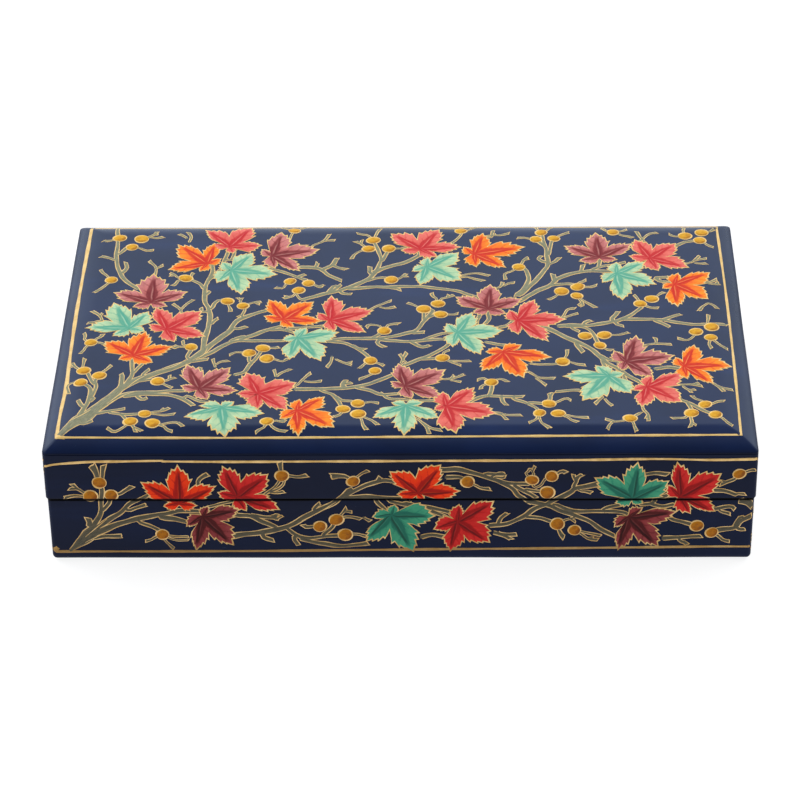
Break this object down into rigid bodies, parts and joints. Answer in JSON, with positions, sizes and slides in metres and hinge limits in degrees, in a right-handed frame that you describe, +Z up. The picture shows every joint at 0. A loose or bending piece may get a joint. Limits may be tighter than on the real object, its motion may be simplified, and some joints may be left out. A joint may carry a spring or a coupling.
{
  "type": "lidded papier-mache box",
  "caption": "Flat rectangular keepsake box with a lift-off lid: a pinned wooden carcass under a lacquered papier-mache skin, with an inner lip that locates the crowned lid.",
  "frame": {"origin": "middle of the underside, on the surface the box stands on", "axes": "+X along the length of the box to the right as seen from the front, +Y from front to back, +Z up"},
  "size_m": [0.254, 0.15, 0.053],
  "materials": {
    "navy_lacquer": "deep navy paint under clear gloss lacquer",
    "gold_paint": "hand-painted gold line, satin",
    "leaf_orange": "hand-painted orange and red leaf colour under lacquer",
    "leaf_rose": "hand-painted rose red leaf colour under lacquer",
    "leaf_turquoise": "hand-painted turquoise leaf colour under lacquer",
    "leaf_plum": "hand-painted plum leaf colour under lacquer",
    "branch_green": "hand-painted grey-green branch colour under lacquer",
    "berry_ochre": "hand-painted ochre berry colour under lacquer",
    "carcass_wood": "light softwood, black lacquer where it shows",
    "lip_black": "black lacquer, satin",
    "lining_velvet": "dark blue cotton velvet",
    "pin_steel": "bright wire panel pins"
  },
  "bodies": {
    "base": {"base_front_wall": "carcass_wood", "base_back_wall": "carcass_wood", "base_left_wall": "carcass_wood", "base_right_wall": "carcass_wood", "bottom_board": "carcass_wood", "lip_front": "lip_black", "lip_back": "lip_black", "lip_left": "lip_black", "lip_right": "lip_black", "floor_lining": "lining_velvet", "base_corner_pins": "pin_steel", "bottom_pins": "pin_steel", "base_skin": "navy_lacquer"},
    "lid": {"lid_top_board": "carcass_wood", "lid_front_rail": "carcass_wood", "lid_back_rail": "carcass_wood", "lid_left_rail": "carcass_wood", "lid_right_rail": "carcass_wood", "lid_lining": "lining_velvet", "lid_corner_pins": "pin_steel", "lid_skin": "navy_lacquer"}
  },
  "joints": [
    {"name": "lid_lift", "type": "slide", "parent": "base", "child": "lid", "axis": [0, 0, 1], "range_m": [0, 0.08]}
  ]
}
